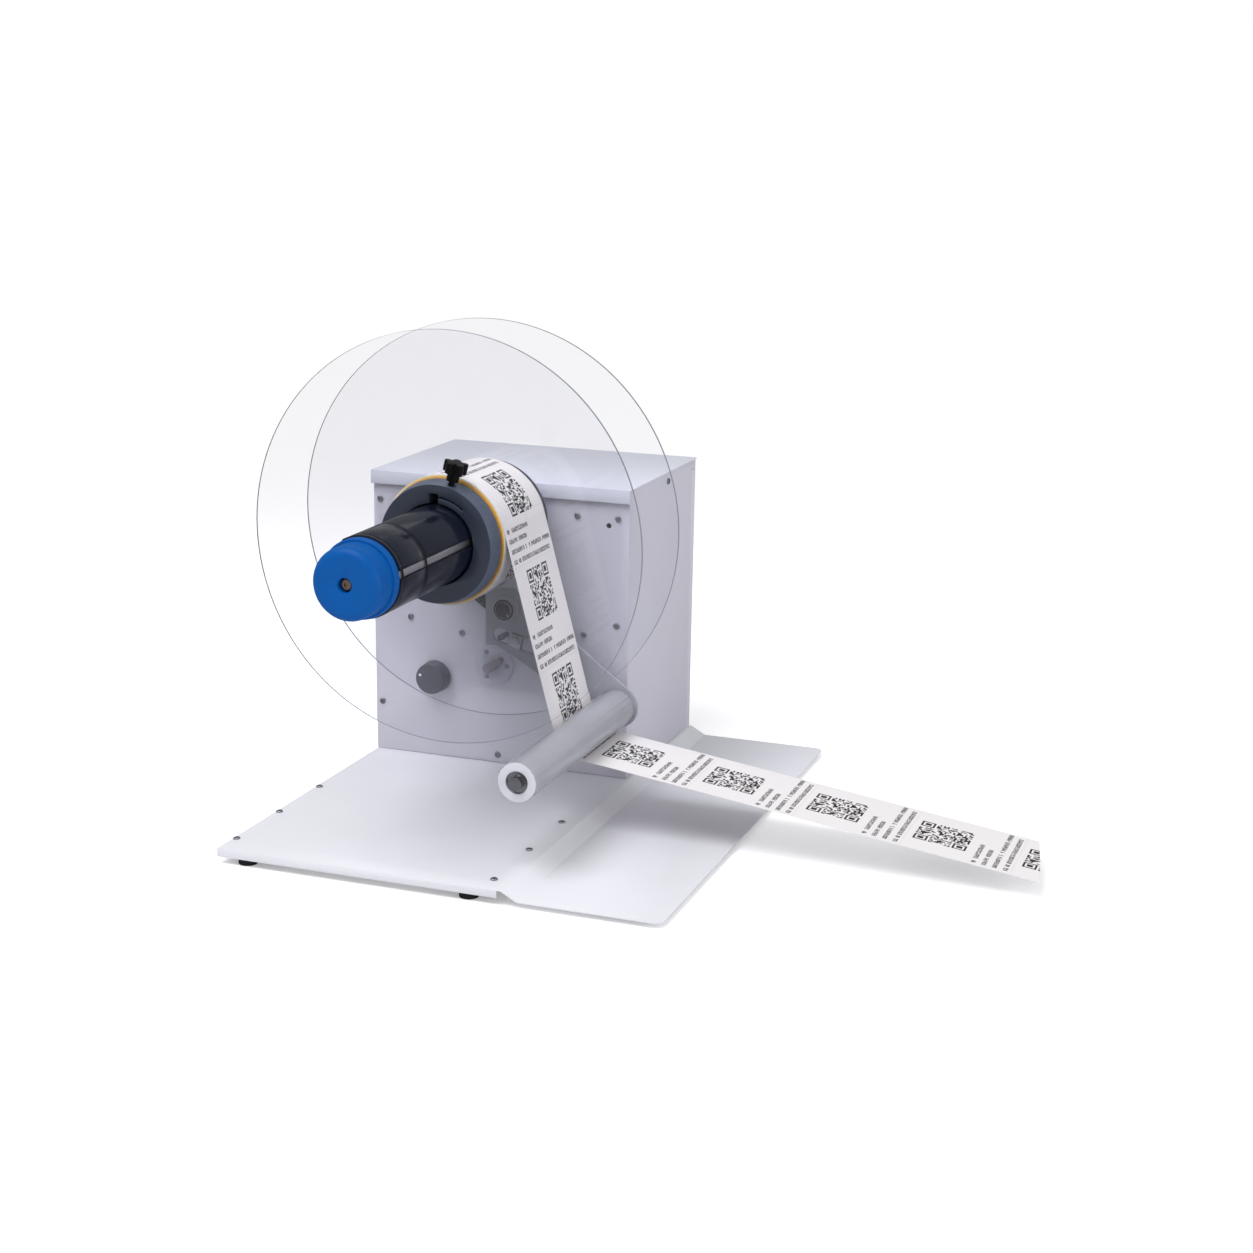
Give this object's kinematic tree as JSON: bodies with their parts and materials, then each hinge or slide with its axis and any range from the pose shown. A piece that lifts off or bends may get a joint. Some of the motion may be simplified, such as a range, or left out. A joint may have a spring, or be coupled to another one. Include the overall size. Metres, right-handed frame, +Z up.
{
  "type": "label rewinder",
  "caption": "Table-top label rewinder: motor-driven expanding mandrel with clear flange discs, dancer roller with spring arm, control knobs and a folded sheet base.",
  "frame": {"origin": "middle of the whole part's footprint box, label web included, at table height", "axes": "+Z up, the mandrel and the operator's side point to -Y, the web leaves towards +X"},
  "size_m": [0.7813, 0.563, 0.48],
  "materials": {
    "base_paint": "pale grey textured powder coat",
    "casing_paint": "light grey powder coat",
    "cover_paint": "light grey powder coat",
    "zinc_steel": "zinc-plated sheet steel",
    "screw_steel": "zinc-plated machine screw",
    "foot_rubber": "black rubber",
    "machined_aluminium": "turned aluminium",
    "bright_aluminium": "bright extruded aluminium",
    "bearing_steel": "ground bearing steel",
    "shaft_steel": "ground steel shaft",
    "motor_black": "black painted motor",
    "belt_rubber": "black ribbed belt",
    "board_green": "green solder mask",
    "black_plastic": "moulded black plastic",
    "mandrel_black": "satin black mandrel shell",
    "knob_blue": "moulded blue plastic",
    "hub_grey": "moulded slate grey plastic",
    "clear_acrylic": "clear acrylic sheet",
    "core_card": "wound card core",
    "roll_paper": "wound labels on an amber liner",
    "label_paper": "white printed labels on their liner",
    "arm_paint": "light grey powder coat",
    "cap_black": "blackened steel",
    "roller_white": "smooth white plastic tube",
    "spring_black": "oiled black spring wire",
    "control_grey": "moulded grey knob",
    "control_light": "moulded light grey plate",
    "control_taupe": "moulded grey pointer"
  },
  "bodies": {
    "root": {"base_plate": "base_paint", "base_rail_left": "zinc_steel", "base_rail_right": "zinc_steel", "rubber_feet": "foot_rubber", "base_screws": "screw_steel", "front_panel": "casing_paint", "left_side_panel": "casing_paint", "right_side_panel": "casing_paint", "top_cover": "cover_paint", "rear_cover": "casing_paint", "panel_screws": "screw_steel", "cover_screws": "screw_steel", "spindle_housing": "machined_aluminium", "spindle_bearings": "bearing_steel", "motor_bracket": "zinc_steel", "gearmotor": "motor_black", "drive_belt": "belt_rubber", "electronics_bracket": "zinc_steel", "control_board": "board_green", "power_supply": "zinc_steel", "power_inlet": "black_plastic", "pivot_housing": "machined_aluminium", "pivot_bearings": "bearing_steel", "angle_sensor": "black_plastic", "limit_posts": "shaft_steel", "spring_post": "shaft_steel", "dancer_spring": "spring_black", "speed_pot": "black_plastic", "selector_plate": "control_light", "selector_screws": "screw_steel", "selector_switch": "black_plastic", "label_web": "label_paper"},
    "spindle": {"spindle_shaft": "shaft_steel", "spindle_pulley": "machined_aluminium", "mandrel_core": "bright_aluminium", "mandrel_rings": "foot_rubber", "knob_screw": "screw_steel", "rear_hub": "hub_grey", "rear_disc": "clear_acrylic", "label_core": "core_card", "label_roll": "roll_paper"},
    "expander": {"expander_knob": "knob_blue"},
    "shell_1": {"mandrel_shell_1": "mandrel_black"},
    "shell_2": {"mandrel_shell_2": "mandrel_black"},
    "shell_3": {"mandrel_shell_3": "mandrel_black"},
    "front_flange": {"front_disc": "clear_acrylic", "front_hub": "hub_grey"},
    "clamp": {"thumb_screw": "black_plastic"},
    "motor_output": {"motor_pulley": "machined_aluminium"},
    "dancer": {"dancer_arm": "arm_paint", "pivot_shaft": "shaft_steel", "pivot_cap": "cap_black", "stop_bolt": "zinc_steel", "roller_shaft": "shaft_steel", "roller_clip": "cap_black"},
    "roller": {"guide_roller": "roller_white", "roller_bearings": "bearing_steel"},
    "speed_control": {"speed_knob": "control_grey"},
    "selector": {"selector_knob": "control_taupe"},
    "rocker": {"power_rocker": "black_plastic"}
  },
  "joints": [
    {"name": "spindle_spin", "type": "hinge", "parent": "root", "child": "spindle", "pos_m": [-0.19065, -0.02945, 0.28], "axis": [0, -1, 0], "continuous": true},
    {"name": "expander_turn", "type": "hinge", "parent": "spindle", "child": "expander", "pos_m": [-0.19065, -0.25945, 0.28], "axis": [0, -1, 0], "range_deg": [0, 90]},
    {"name": "shell_1_draw", "type": "slide", "parent": "spindle", "child": "shell_1", "axis": [-0.3665, 0, -0.9304], "range_m": [-0.00001, 0.00101]},
    {"name": "shell_2_draw", "type": "slide", "parent": "spindle", "child": "shell_2", "axis": [0.989, 0, 0.1478], "range_m": [-0.00001, 0.00101]},
    {"name": "shell_3_draw", "type": "slide", "parent": "spindle", "child": "shell_3", "axis": [-0.6225, 0, 0.7826], "range_m": [-0.00001, 0.00101]},
    {"name": "flange_slide", "type": "slide", "parent": "spindle", "child": "front_flange", "axis": [0, -1, 0], "range_m": [0, 0.145]},
    {"name": "clamp_turn", "type": "hinge", "parent": "front_flange", "child": "clamp", "pos_m": [-0.17372, -0.08805, 0.34792], "axis": [0.2419, 0, 0.9703], "range_deg": [0, 540]},
    {"name": "motor_turn", "type": "hinge", "parent": "root", "child": "motor_output", "pos_m": [-0.26405, 0.13355, 0.125], "axis": [0, -1, 0], "continuous": true},
    {"name": "dancer_swing", "type": "hinge", "parent": "root", "child": "dancer", "pos_m": [-0.17655, 0.06055, 0.1877], "axis": [0, -1, 0], "range_deg": [-25, 6], "deforming": ["dancer_spring", "label_web"]},
    {"name": "roller_spin", "type": "hinge", "parent": "dancer", "child": "roller", "pos_m": [-0.05597, -0.07945, 0.09848], "axis": [0, -1, 0], "continuous": true},
    {"name": "speed_turn", "type": "hinge", "parent": "root", "child": "speed_control", "pos_m": [-0.26465, 0.06255, 0.1023], "axis": [0, -1, 0], "range_deg": [-215, 85]},
    {"name": "selector_turn", "type": "hinge", "parent": "root", "child": "selector", "pos_m": [-0.19845, 0.06255, 0.1217], "axis": [0, -1, 0], "range_deg": [-60, 60]},
    {"name": "rocker_tilt", "type": "hinge", "parent": "root", "child": "rocker", "pos_m": [-0.26055, 0.27655, 0.061], "axis": [-1, 0, 0], "range_deg": [0, 10]}
  ],
  "couplings": [
    {"joint": "shell_1_draw", "follows": "expander_turn", "m_per_rad": 0.00063662},
    {"joint": "shell_2_draw", "follows": "expander_turn", "m_per_rad": 0.00063662},
    {"joint": "shell_3_draw", "follows": "expander_turn", "m_per_rad": 0.00063662},
    {"joint": "motor_turn", "follows": "spindle_spin", "ratio": 2}
  ]
}
